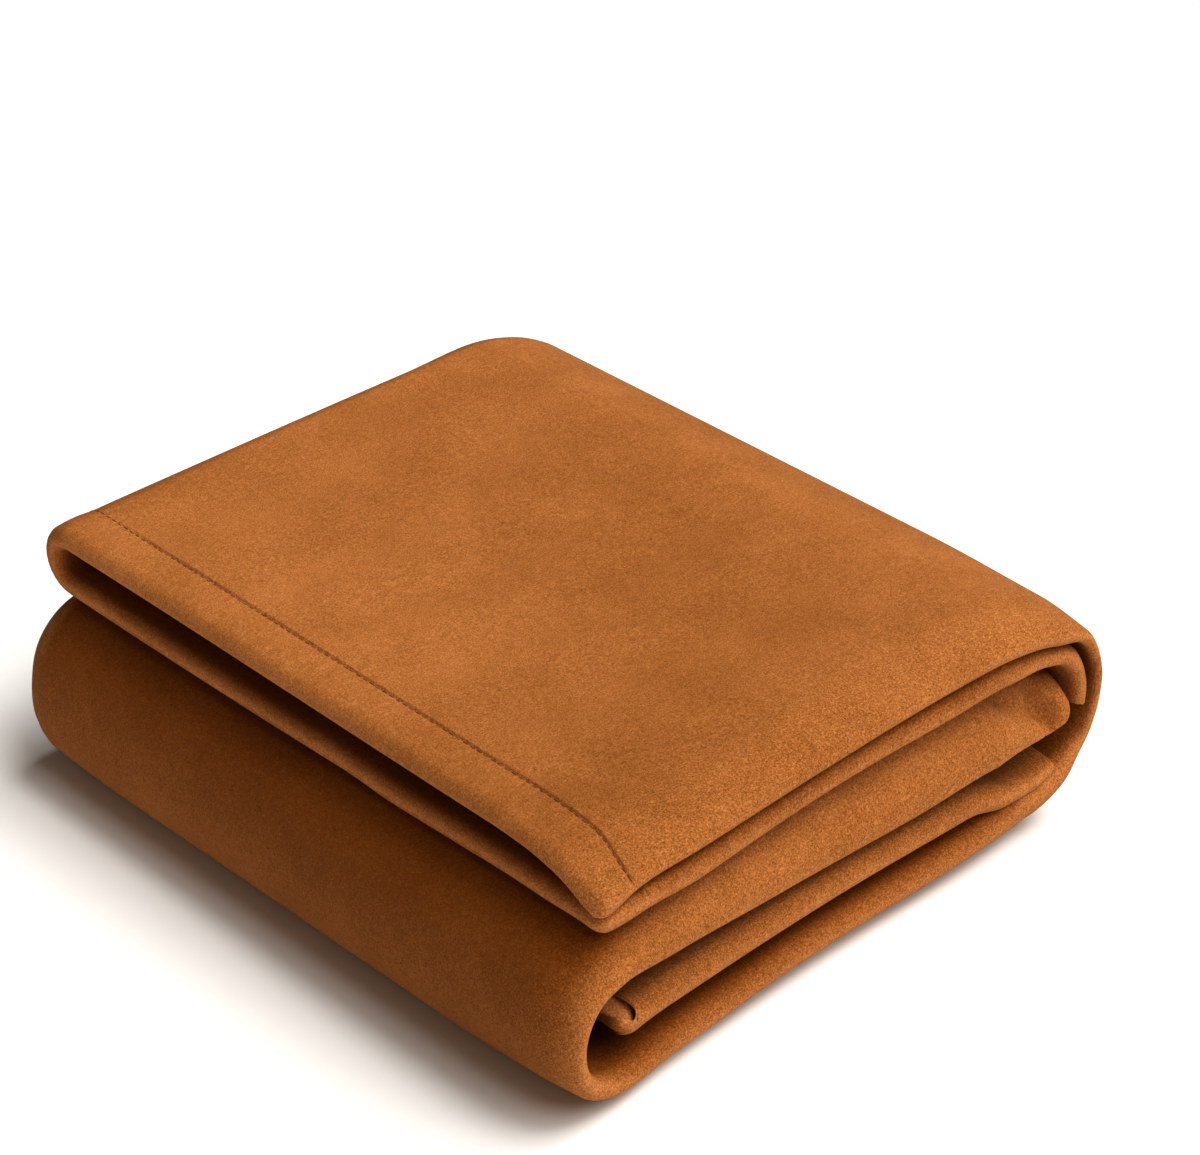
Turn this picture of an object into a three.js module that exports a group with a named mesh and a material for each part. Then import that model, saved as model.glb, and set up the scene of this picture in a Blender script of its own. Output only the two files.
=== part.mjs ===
import * as THREE from 'three';

// Faux suede throw, folded and lying flat. Millimetres, +Z up, origin under its middle.
// The throw is one padded sheet with one topstitched hem. It is doubled along its far long
// side, so that it has an outer and an inner ply, and the doubled strip is then rolled up
// in three lengths. The outer ply runs from the hem over the top, round the right wrap,
// along the floor, round the left bend and back through the middle to its other end, and
// the inner ply follows it inside. The near side, at low Y, shows the edges of both.

// Driving dimensions
const thickness = 10.5;
const rimLength = 6;
const nearSide = -194;
const farSide = 194;
const standBack = { by: 12, fromX: -155, toX: 40 };
const corner = { radius: 7, share: 0.8 };
const margin = 34;
const hem = { width: 25, swell: 0.8, groove: 1.2, halfGroove: 3 };

// Shape of the turned-in edges: how sharply a curl starts, and how far a swell reaches
const curlPower = 2.2;
const swellReach = 2.2 * margin;

// Mesh steps: places behind an edge, how many of them count at the two ends, steps across
// a ply and round the far turn, and the longest run and turn between two stations
const edgePlaces = [0, 1.2, 3.4, 6.5, 11, 17, 25, 36];
const endPlaces = 6;
const steps = { ply: 4, turn: 6, lookAhead: 1, curve: 100 };
const stride = { length: 42, turn: 0.2 };

// The outer ply's route, from the hem to its other end.
// x, z: middle of the outer ply behind its margin, in the X-Z plane.
// rise, slip: how much higher, and further to the right, it lies at the far side.
// gap: from the outer to the inner ply, middle to middle; wide: more of it at the far side.
// sag: more of it again halfway between the near and the far side.
const route = [
  { at: 'hem end', x: -150, z: 117.5, rise: 6, gap: 18, wide: 8, sag: 2.5 },
  { at: 'hem seam', x: -124, z: 118.5, rise: 5, gap: 16, wide: 7, sag: 1 },
  { at: 'top middle', x: 0, z: 119, rise: 4, gap: 14, wide: 5 },
  { at: 'top right', x: 116, z: 119, rise: 2, gap: 13, wide: 3 },
  { at: 'shoulder', x: 147, z: 111, rise: 1, gap: 12.5, wide: 2 },
  { at: 'wrap upper', x: 167, z: 97, gap: 12, wide: 1 },
  { at: 'wrap side', x: 176, z: 75, gap: 12 },
  { at: 'hook end', x: 175.8, z: 61, gap: 12 },
  { at: 'inner edge tucked', x: 175, z: 56, gap: 12 },
  { at: 'wrap lower', x: 170, z: 43, gap: 12.5 },
  { at: 'wrap foot', x: 155, z: 24, gap: 14, wide: 1 },
  { at: 'floor lift', x: 126, z: 9, gap: 22 },
  { at: 'floor right', x: 90, z: 5, gap: 27 },
  { at: 'floor middle', x: -30, z: 5, gap: 28 },
  { at: 'floor left', x: -112, z: 5, gap: 28 },
  { at: 'bend foot', x: -145, z: 9.5, slip: 1, gap: 25 },
  { at: 'bend lower', x: -163, z: 24, slip: 2.5, gap: 22 },
  { at: 'bend side', x: -170, z: 47, slip: 3, gap: 21.5 },
  { at: 'bend upper', x: -163, z: 70, slip: 2, gap: 22 },
  { at: 'bend top', x: -145, z: 84, slip: 1, gap: 25 },
  { at: 'middle left', x: -105, z: 87, gap: 29 },
  { at: 'middle', x: 0, z: 86, gap: 30 },
  { at: 'middle right', x: 108, z: 86, gap: 27 },
  { at: 'middle end', x: 155.5, z: 78, gap: 24 },
];

// The near edges of both plies, at the same places. What a row leaves out is 0.
// curl, curlIn: how far the outer and the inner ply's near edge turns to the inner side.
// reach: how far behind the margin those curls still show.
// swell, swellIn: how far the ply behind its edge bulges to the inner side.
// puff, puffIn: how much thicker each half of the ply is there.
// set: how far the outer edge stands back; back: how much further the inner one does.
const edges = {
  'hem end': { curl: 13, reach: 45, curlIn: 6, back: 6 },
  'hem seam': { curl: 12, reach: 30, curlIn: 8, back: 3 },
  'top middle': { curl: 9, curlIn: 11, back: 2 },
  'top right': { curl: 11, curlIn: 14, back: 2 },
  shoulder: { curl: 6, curlIn: 6, back: 2 },
  'wrap upper': { curl: 2, curlIn: 1, back: 2 },
  'wrap side': { curl: 1, back: 2 },
  'hook end': { curl: 1, back: 3 },
  'inner edge tucked': { curl: 1, back: 40 },
  'wrap lower': { curl: 1, back: 34 },
  'wrap foot': { back: 8 },
  'floor lift': { curl: 4, swell: 6, puff: 3, puffIn: 1, back: 3 },
  'floor right': { curl: 7, swell: 8, puff: 4, swellIn: 5, puffIn: 2, back: 1 },
  'floor middle': { curl: 8, swell: 8, puff: 4, swellIn: 5, puffIn: 2 },
  'floor left': { curl: 5, swell: 8, puff: 4, swellIn: 5, puffIn: 2, set: 1 },
  'bend foot': { curl: 2, swell: 4, puff: 2, back: 4 },
  'bend lower': { curl: 3, curlIn: 1, back: 7 },
  'bend side': { curl: 6, curlIn: 2, back: 8 },
  'bend upper': { curl: 10, curlIn: 2, back: 10 },
  'bend top': { curl: 15, curlIn: 1, back: 12 },
  'middle left': { curl: 22, curlIn: 2, back: 14 },
  middle: { curl: 29, curlIn: 3, back: 16 },
  'middle right': { curl: 34, curlIn: 4, back: 16 },
  'middle end': { curl: 22, curlIn: 4, back: 16 },
};

const smooth = (value) => THREE.MathUtils.smoothstep(value, 0, 1);
const share = (value) => THREE.MathUtils.clamp(value, 0, 1);

// The outer ply's middle line, with every column of the tables at any length along it
function makeLine() {
  const rows = route.map((row) => ({ ...row, ...edges[row.at] }));
  const points = rows.map((row) => new THREE.Vector3(row.x, 0, row.z));
  const curve = new THREE.CatmullRomCurve3(points, false, 'centripetal');
  curve.arcLengthDivisions = steps.curve * (rows.length - 1);
  const lengths = curve.getLengths();
  const total = lengths.at(-1);
  const rowAt = rows.map((_, i) => lengths[steps.curve * i]);
  return {
    total,
    point: (s) => curve.getPointAt(share(s / total)),
    tangent: (s) => curve.getTangentAt(share(s / total)),
    column(name, s) {
      const next = rowAt.findIndex((length, i) => i > 0 && length >= s);
      const i = next < 1 ? rows.length - 2 : next - 1;
      const t = smooth((s - rowAt[i]) / (rowAt[i + 1] - rowAt[i]));
      return THREE.MathUtils.lerp(rows[i][name] ?? 0, rows[i + 1][name] ?? 0, t);
    },
  };
}

const line = makeLine();

const curlAt = (behind, reach) => (1 - share(behind / (margin + reach))) ** curlPower;
const swellAt = (behind) => Math.sin(Math.PI * Math.sqrt(share(behind / swellReach))) ** 2;

// Y of the outer ply's near edge, which stands back towards the right and at both ends
function nearEdge(s, x) {
  const run = share((x - standBack.fromX) / (standBack.toX - standBack.fromX));
  const past = Math.max(0, corner.radius - Math.min(s, line.total - s));
  const rounding = corner.radius - Math.sqrt(corner.radius ** 2 - past ** 2);
  const stand = standBack.by * Math.sin((Math.PI / 2) * run) + line.column('set', s);
  return nearSide + stand + corner.share * rounding;
}

// Places across the doubled strip: over the outer ply, round the far turn and back
function acrossPlaces() {
  const edge = edgePlaces.map((behind) => ({ behind, share: 0 }));
  const span = [];
  for (let i = 1; i <= steps.ply; i += 1) span.push({ behind: 0, share: i / steps.ply });
  const turn = [];
  for (let i = 1; i < steps.turn; i += 1) {
    turn.push({ ply: 'turn', angle: (Math.PI * i) / steps.turn });
  }
  const ply = (name) => [...edge, ...span].map((place) => ({ ...place, ply: name }));
  return [...ply('outer'), ...turn, ...ply('inner').reverse()];
}

// Places along the strip: close at both ends and at the hem's seam, else even in run and turn
function alongPlaces() {
  const { width, halfGroove } = hem;
  const ends = edgePlaces.slice(0, endPlaces);
  const list = [...ends, width - halfGroove, width, width + halfGroove];
  const lastFree = line.total - 2 * ends.at(-1) + ends.at(-2);
  let effort = 0;
  let before = line.tangent(list.at(-1));
  for (let s = list.at(-1) + steps.lookAhead; s < lastFree; s += steps.lookAhead) {
    const now = line.tangent(s);
    effort += steps.lookAhead / stride.length + before.angleTo(now) / stride.turn;
    before = now;
    if (effort >= 1) {
      list.push(s);
      effort = 0;
    }
  }
  return [...list, ...ends.reverse().map((behind) => line.total - behind)];
}

// How far the middle of a ply lies from the route, to the inner side
function offset(get, place, behind, run) {
  if (place.ply === 'outer') {
    return get('curl') * curlAt(behind, get('reach')) + get('swell') * swellAt(behind);
  }
  const part = share(behind / run);
  const spread = get('gap') + get('wide') * smooth(part) + get('sag') * Math.sin(Math.PI * part);
  return spread + get('curlIn') * curlAt(behind, get('reach')) + get('swellIn') * swellAt(behind);
}

// Middle of the cloth at one place
function middle(s, place) {
  const foot = line.point(s);
  const tangent = line.tangent(s);
  const inward = new THREE.Vector3(tangent.z, 0, -tangent.x);
  const get = (name) => line.column(name, s);
  const radius = (get('gap') + get('wide')) / 2;
  const turnAt = farSide - thickness / 2 - radius;
  let y = turnAt;
  let off = 0;
  if (place.ply === 'turn') {
    y += radius * Math.sin(place.angle);
    off = radius * (1 - Math.cos(place.angle));
  } else {
    const edge = nearEdge(s, foot.x) + (place.ply === 'inner' ? get('back') : 0);
    const lastPlace = edgePlaces.at(-1);
    const spanned = THREE.MathUtils.lerp(lastPlace, turnAt - edge, place.share);
    const behind = place.share ? spanned : place.behind;
    y = edge + behind;
    off = offset(get, place, behind, turnAt - edge);
  }
  const far = smooth((y - nearSide) / (farSide - nearSide));
  const shift = new THREE.Vector3(get('slip') * far, y, get('rise') * far);
  return foot.addScaledVector(inward, off).add(shift);
}

// Half the cloth's thickness: round at every edge, puffed in the hem, drawn in at its seam
function halfThickness(s, place) {
  const round = (distance, rim) => Math.sqrt(1 - (1 - Math.min(distance / rim, 1)) ** 2);
  const behind = place.share || place.ply === 'turn' ? margin : place.behind;
  const puff = line.column(place.ply === 'inner' ? 'puffIn' : 'puff', s);
  const fromEnd = Math.min(s, line.total - s);
  let half = thickness / 2 + puff * (1 - smooth(behind / margin));
  if (s < hem.width) half += hem.swell * Math.sin((Math.PI * s) / hem.width);
  half -= hem.groove * Math.max(0, 1 - Math.abs(s - hem.width) / hem.halfGroove);
  return half * round(behind, rimLength + puff) * round(fromEnd, rimLength);
}

// Closed skin of the cloth: both faces of the middle surface, joined along its four edges.
// What would sink into the floor is pressed flat on it.
function clothGeometry() {
  const along = alongPlaces();
  const across = acrossPlaces();
  const grid = along.map((s) => across.map((place) => middle(s, place)));
  const lastI = along.length - 1;
  const lastJ = across.length - 1;
  const positions = [];
  const upper = [];
  const lower = [];
  const add = (point) => positions.push(point.x, point.y, Math.max(point.z, 0)) / 3 - 1;
  for (let i = 0; i <= lastI; i += 1) {
    upper.push([]);
    lower.push([]);
    for (let j = 0; j <= lastJ; j += 1) {
      const run = grid[Math.min(i + 1, lastI)][j].clone().sub(grid[Math.max(i - 1, 0)][j]);
      const cross = grid[i][Math.min(j + 1, lastJ)].clone().sub(grid[i][Math.max(j - 1, 0)]);
      const normal = run.cross(cross).normalize();
      const half = halfThickness(along[i], across[j]);
      const edge = i === 0 || j === 0 || i === lastI || j === lastJ;
      upper[i].push(add(grid[i][j].clone().addScaledVector(normal, edge ? 0 : half)));
      const under = grid[i][j].clone().addScaledVector(normal, -half);
      lower[i].push(edge ? upper[i][j] : add(under));
    }
  }
  const faces = [];
  for (let i = 0; i < lastI; i += 1) {
    for (let j = 0; j < lastJ; j += 1) {
      const [a, b, c, d] = [upper[i][j], upper[i + 1][j], upper[i + 1][j + 1], upper[i][j + 1]];
      const [e, f, g, h] = [lower[i][j], lower[i + 1][j], lower[i + 1][j + 1], lower[i][j + 1]];
      faces.push(a, b, c, a, c, d, e, g, f, e, h, g);
    }
  }
  const geometry = new THREE.BufferGeometry();
  geometry.setAttribute('position', new THREE.Float32BufferAttribute(positions, 3));
  geometry.setIndex(faces);
  geometry.computeVertexNormals();
  return geometry;
}

// The origin is under the middle of the cloth's box
function centreOverOrigin(geometry) {
  geometry.computeBoundingBox();
  const centre = geometry.boundingBox.getCenter(new THREE.Vector3());
  return geometry.translate(-centre.x, -centre.y, 0);
}

const suede = new THREE.MeshStandardMaterial({ name: 'faux suede', color: 0xb9702f, roughness: 0.95 });
const throwMesh = new THREE.Mesh(centreOverOrigin(clothGeometry()), suede);
throwMesh.name = 'throw';

const group = new THREE.Group();
group.add(throwMesh);
export default group;
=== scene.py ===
"""Looks of a folded faux suede throw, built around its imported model, in metres."""

from __future__ import annotations

import logging
import math
from dataclasses import dataclass, field
from enum import Enum
from functools import cached_property

import bmesh
import bpy
import numpy as np
from mathutils import Matrix, Vector

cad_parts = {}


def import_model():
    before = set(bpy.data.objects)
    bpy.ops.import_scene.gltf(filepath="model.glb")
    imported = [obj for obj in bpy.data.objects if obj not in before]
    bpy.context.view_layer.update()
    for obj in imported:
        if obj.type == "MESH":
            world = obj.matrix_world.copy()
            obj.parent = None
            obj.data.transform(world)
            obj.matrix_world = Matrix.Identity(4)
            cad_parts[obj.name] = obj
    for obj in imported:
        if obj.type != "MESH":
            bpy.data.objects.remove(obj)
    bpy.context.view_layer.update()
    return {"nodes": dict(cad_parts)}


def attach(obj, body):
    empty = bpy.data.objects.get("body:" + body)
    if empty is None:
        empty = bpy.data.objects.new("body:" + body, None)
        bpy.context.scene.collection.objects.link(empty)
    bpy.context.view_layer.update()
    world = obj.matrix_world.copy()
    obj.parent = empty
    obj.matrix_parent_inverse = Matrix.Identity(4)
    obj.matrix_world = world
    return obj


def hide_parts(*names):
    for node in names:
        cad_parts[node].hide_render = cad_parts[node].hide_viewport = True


log = logging.getLogger("throw")

MM = 0.001
IMAGE_SIZE = (1200, 1155)
MIDDLE_OF_FOLDS = (3.25, 0.1)


class Ply(Enum):
    """The stretches that a place across the doubled strip can lie on."""

    OUTER = "outer"
    TURN = "turn"
    INNER = "inner"


class Face(Enum):
    """The cloth's faces: the one on the outside of the doubled strip, and its lining side."""

    OUTSIDE = 1
    INSIDE = -1


def linear(colour: str) -> tuple[float, float, float, float]:
    """Turns an sRGB hex colour into linear values.

    Args:
        colour: Six hex digits, with or without a leading hash.

    Returns:
        Red, green, blue and an alpha of 1.
    """
    digits = colour.lstrip("#")
    parts = [int(digits[i : i + 2], 16) / 255 for i in (0, 2, 4)]
    low, high = 0.04045, 2.4
    red, green, blue = [
        p / 12.92 if p <= low else ((p + 0.055) / 1.055) ** high for p in parts
    ]
    return red, green, blue, 1.0


def add_node(
    tree: bpy.types.NodeTree,
    kind: str,
    values: dict[str | int, object] | None = None,
    links: dict[str | int, bpy.types.NodeSocket] | None = None,
    **settings: object,
) -> bpy.types.Node:
    """Adds one node with its settings, socket values and incoming links.

    Args:
        tree: The node tree to add to.
        kind: The node's type name.
        values: Socket name or number to its constant value.
        links: Socket name or number to the output that feeds it.
        **settings: Properties of the node itself.

    Returns:
        The new node.
    """
    node = tree.nodes.new(kind)
    for name, value in settings.items():
        setattr(node, name, value)
    for name, value in (values or {}).items():
        node.inputs[name].default_value = value
    for name, source in (links or {}).items():
        tree.links.new(source, node.inputs[name])
    return node


def new_material(
    name: str,
) -> tuple[bpy.types.Material, bpy.types.NodeTree, bpy.types.NodeSocket]:
    """Starts a material with an empty node tree.

    Args:
        name: The material's name.

    Returns:
        The material, its tree and the Object coordinates in it.
    """
    material = bpy.data.materials.new(name)
    material.use_nodes = True
    tree = material.node_tree
    tree.nodes.clear()
    return material, tree, add_node(tree, "ShaderNodeTexCoord").outputs["Object"]


def mixed_tone(
    tree: bpy.types.NodeTree, place: bpy.types.NodeSocket, colours: tuple[str, str], size: float,
    roughness: float,
) -> bpy.types.NodeSocket:
    """Mixes two colours by a noise.

    Args:
        tree: The node tree to add to.
        place: The coordinates that the noise reads.
        colours: Both colours, in sRGB hex.
        size: The noise's size in metres.
        roughness: The roughness of its finer layers.

    Returns:
        The mixed colour.
    """
    noise = add_node(
        tree,
        "ShaderNodeTexNoise",
        {"Scale": 1 / size, "Detail": 2.0, "Roughness": roughness},
        {"Vector": place},
    ).outputs["Fac"]
    return add_node(
        tree,
        "ShaderNodeMix",
        {6: linear(colours[0]), 7: linear(colours[1])},
        {"Factor": noise},
        data_type="RGBA",
    ).outputs[2]


def add_object(name: str, data: bpy.types.ID) -> bpy.types.Object:
    """Makes an object of a mesh, light or camera and links it to the scene."""
    made = bpy.data.objects.new(name, data)
    bpy.context.scene.collection.objects.link(made)
    return made


def smooth(value: np.ndarray | float) -> np.ndarray:
    """Eases a value from 0 to 1, held at both ends."""
    t = np.clip(value, 0.0, 1.0)
    return t * t * (3 - 2 * t)


@dataclass(frozen=True)
class SuedeFinish:
    """Brushed polyester microfibre, sold as faux suede.

    Its short raised fibres give a matt, slightly grainy face without gloss, with soft lighter and
    darker patches. Painted shade darkens the faces that lie in shade by a pale multiplied tint, and
    a painted highlight lightens the edge line along each lip.
    """

    deep: str = "#77471C"
    colour: str = "#9C6231"
    light: str = "#C1824C"
    shade_tint: str = "#BEA865"
    grain_size: float = 0.8 * MM
    clump_size: float = 3.2 * MM
    mottle_size: float = 42 * MM
    cloud_size: float = 125 * MM
    streak: tuple[float, float] = (1.7 * MM, 15 * MM)
    pucker: tuple[float, float] = (4.5 * MM, 30 * MM)
    grain_tone: float = 1.3
    margin_grain_tone: float = 0.7
    clump_tone: float = 0.3
    mottle_tone: float = 0.34
    cloud_tone: float = 0.24
    streak_tone: float = 0.2
    lip_highlight_tone: float = 0.2
    roughness: float = 0.9
    specular: float = 0.2
    specular_tint: str = "#FFC48C"
    sheen: float = 0.04
    sheen_roughness: float = 0.5
    sheen_tint: str = "#F0C8A0"
    ior: float = 1.45
    bump: float = 0.9
    bump_height: float = 0.3 * MM
    clump_relief: float = 0.8
    streak_relief: float = 0.5
    pucker_relief: float = 5.0
    noise_roughness: float = 0.6
    noise_distortion: float = 0.2
    ramp: tuple[float, float, float] = (0.1, 0.5, 0.95)

    def noise(
        self, tree: bpy.types.NodeTree, place: bpy.types.NodeSocket,
        size: tuple[float, float, float], detail: float,
    ) -> bpy.types.NodeSocket:
        """Adds one noise with a mean of nearly nought.

        Args:
            tree: The node tree to add to.
            place: The coordinates it reads.
            size: Its pattern's size along each of their axes, in metres.
            detail: How many finer layers it holds.

        Returns:
            The noise, from about -0.5 to 0.5.
        """
        scaled = add_node(
            tree,
            "ShaderNodeMapping",
            {"Scale": tuple(1 / side for side in size)},
            {"Vector": place},
        ).outputs["Vector"]
        noise = add_node(
            tree,
            "ShaderNodeTexNoise",
            {
                "Scale": 1.0,
                "Detail": detail,
                "Roughness": self.noise_roughness,
                "Distortion": self.noise_distortion,
            },
            {"Vector": scaled},
        ).outputs["Fac"]
        return add_node(
            tree, "ShaderNodeMath", {1: 0.5}, {0: noise}, operation="SUBTRACT"
        ).outputs[0]

    def total(
        self, tree: bpy.types.NodeTree, start: float,
        parts: list[tuple[bpy.types.NodeSocket, float]],
    ) -> bpy.types.NodeSocket:
        """Adds up weighted values.

        Args:
            tree: The node tree to add to.
            start: The sum's start.
            parts: Each value's socket and its weight.

        Returns:
            The sum.
        """
        links: dict[str | int, bpy.types.NodeSocket] = {}
        for value, weight in parts:
            added = add_node(
                tree,
                "ShaderNodeMath",
                {1: weight, 2: start},
                {0: value, **links},
                operation="MULTIPLY_ADD",
            )
            links = {2: added.outputs[0]}
        return links[2]

    def build(self) -> bpy.types.Material:
        """Makes the material.

        Returns:
            The suede material, reading Object coordinates and the cloth's own attributes.
        """
        material, tree, place = new_material("faux_suede_brushed")
        flat = add_node(tree, "ShaderNodeUVMap", uv_map="flat").outputs["UV"]
        share = {
            name: add_node(tree, "ShaderNodeAttribute", attribute_name=name).outputs["Fac"]
            for name in ("lip", "margin", "hem", "seam", "painted_shade", "patches_and_painted_light")
        }

        def held(value: bpy.types.NodeSocket, mask: str) -> bpy.types.NodeSocket:
            """A value within one of the masks only."""
            return add_node(
                tree, "ShaderNodeMath", links={0: value, 1: share[mask]}, operation="MULTIPLY"
            ).outputs[0]

        wide, long = self.streak
        grain = self.noise(tree, place, (self.grain_size,) * 3, 2.0)
        clump = self.noise(tree, place, (self.clump_size,) * 3, 1.0)
        mottle = self.noise(tree, place, (self.mottle_size,) * 3, 2.0)
        cloud = self.noise(tree, place, (self.cloud_size,) * 3, 1.0)
        on_margin = held(self.noise(tree, flat, (long, wide, 1.0), 1.0), "margin")
        on_hem = held(self.noise(tree, flat, (wide, long, 1.0), 1.0), "hem")
        puckers = held(self.noise(tree, flat, (*self.pucker, 1.0), 1.0), "seam")
        tone = self.total(
            tree,
            0.5,
            [
                (grain, self.grain_tone),
                (held(grain, "margin"), self.margin_grain_tone),
                (clump, self.clump_tone),
                (mottle, self.mottle_tone),
                (cloud, self.cloud_tone),
                (on_margin, self.streak_tone),
                (on_hem, self.streak_tone),
                # A painted highlight along the edge line of each lip.
                (share["lip"], self.lip_highlight_tone),
                # Patches of tone with the shoulder's painted highlight, and painted shade on the
                # tucked inner ply.
                (share["patches_and_painted_light"], 1.0),
            ],
        )
        ramp = add_node(tree, "ShaderNodeValToRGB", links={"Fac": tone})
        stops = ramp.color_ramp.elements
        low, middle, high = self.ramp
        stops[0].position, stops[0].color = low, linear(self.deep)
        stops[1].position, stops[1].color = high, linear(self.light)
        stops.new(middle).color = linear(self.colour)
        # Painted shade: the colour is multiplied towards a pale tint where the cloth lies in shade,
        # high on the left-hand bend and deep in the inside face's hollows.
        colour = add_node(
            tree,
            "ShaderNodeMix",
            {7: linear(self.shade_tint)},
            {"Factor": share["painted_shade"], 6: ramp.outputs["Color"]},
            data_type="RGBA",
            blend_type="MULTIPLY",
        ).outputs[2]
        height = self.total(
            tree,
            0.5,
            [
                (grain, 1.0),
                (clump, self.clump_relief),
                (on_margin, self.streak_relief),
                (on_hem, self.streak_relief),
                (puckers, self.pucker_relief),
            ],
        )
        relief = add_node(
            tree,
            "ShaderNodeBump",
            {"Strength": self.bump, "Distance": self.bump_height},
            {"Height": height},
        ).outputs["Normal"]
        shader = add_node(
            tree,
            "ShaderNodeBsdfPrincipled",
            {
                "Roughness": self.roughness,
                "IOR": self.ior,
                "Specular IOR Level": self.specular,
                "Specular Tint": linear(self.specular_tint),
                "Sheen Weight": self.sheen,
                "Sheen Roughness": self.sheen_roughness,
                "Sheen Tint": linear(self.sheen_tint),
            },
            {"Base Color": colour, "Normal": relief},
        )
        add_node(tree, "ShaderNodeOutputMaterial", links={"Surface": shader.outputs["BSDF"]})
        return material


@dataclass(frozen=True)
class ThreadFinish:
    """Twisted polyester sewing thread, dyed darker than the cloth, with a faint silky gloss."""

    colour: str = "#552A10"
    dark: str = "#34170A"
    ply_size: float = 0.45 * MM
    twist_roughness: float = 0.6
    roughness: float = 0.6

    def build(self) -> bpy.types.Material:
        """Makes the material.

        Returns:
            The thread material.
        """
        material, tree, place = new_material("polyester_sewing_thread")
        tone = mixed_tone(
            tree, place, (self.dark, self.colour), self.ply_size, self.twist_roughness
        )
        shader = add_node(
            tree,
            "ShaderNodeBsdfPrincipled",
            {"Roughness": self.roughness, "IOR": 1.55, "Specular IOR Level": 0.3},
            {"Base Color": tone},
        )
        add_node(tree, "ShaderNodeOutputMaterial", links={"Surface": shader.outputs["BSDF"]})
        return material


@dataclass(frozen=True)
class FloorFinish:
    """Matt white paper sweep, as under a small product, which stays plain."""

    colour: str = "#EEEDEA"
    fleck: str = "#ECEBE8"
    fleck_size: float = 30 * MM
    fleck_roughness: float = 0.5

    def build(self) -> bpy.types.Material:
        """Makes the material.

        Returns:
            The floor material.
        """
        material, tree, place = new_material("matt_white_paper")
        tone = mixed_tone(
            tree, place, (self.colour, self.fleck), self.fleck_size, self.fleck_roughness
        )
        shader = add_node(
            tree,
            "ShaderNodeBsdfPrincipled",
            {"Roughness": 0.95, "Specular IOR Level": 0.1},
            {"Base Color": tone},
        )
        add_node(tree, "ShaderNodeOutputMaterial", links={"Surface": shader.outputs["BSDF"]})
        return material


@dataclass(frozen=True)
class Fold:
    """One place on the outer ply's route and what both plies do there, in millimetres.

    x and z place the ply's middle, rise and slip move its far side up and right, gap, wide and
    sag part the plies, and the rest shape the near edges: curl, reach, swell and puff of the
    outer ply, curl_in, swell_in and puff_in of the inner one, set and back how far they stand
    back, and draw_z how far the inner one is drawn up. The last value shapes nothing: it is how
    much painted shade darkens the outer face there, from 0 to 1, most of it high up the left-hand
    bend.
    """

    x: float
    z: float
    gap: float
    rise: float = 0
    slip: float = 0
    wide: float = 0
    sag: float = 0
    curl: float = 0
    reach: float = 0
    curl_in: float = 0
    swell: float = 0
    swell_in: float = 0
    puff: float = 0
    puff_in: float = 0
    set: float = 0
    back: float = 0
    draw_z: float = 0
    painted_shade: float = 0


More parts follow.
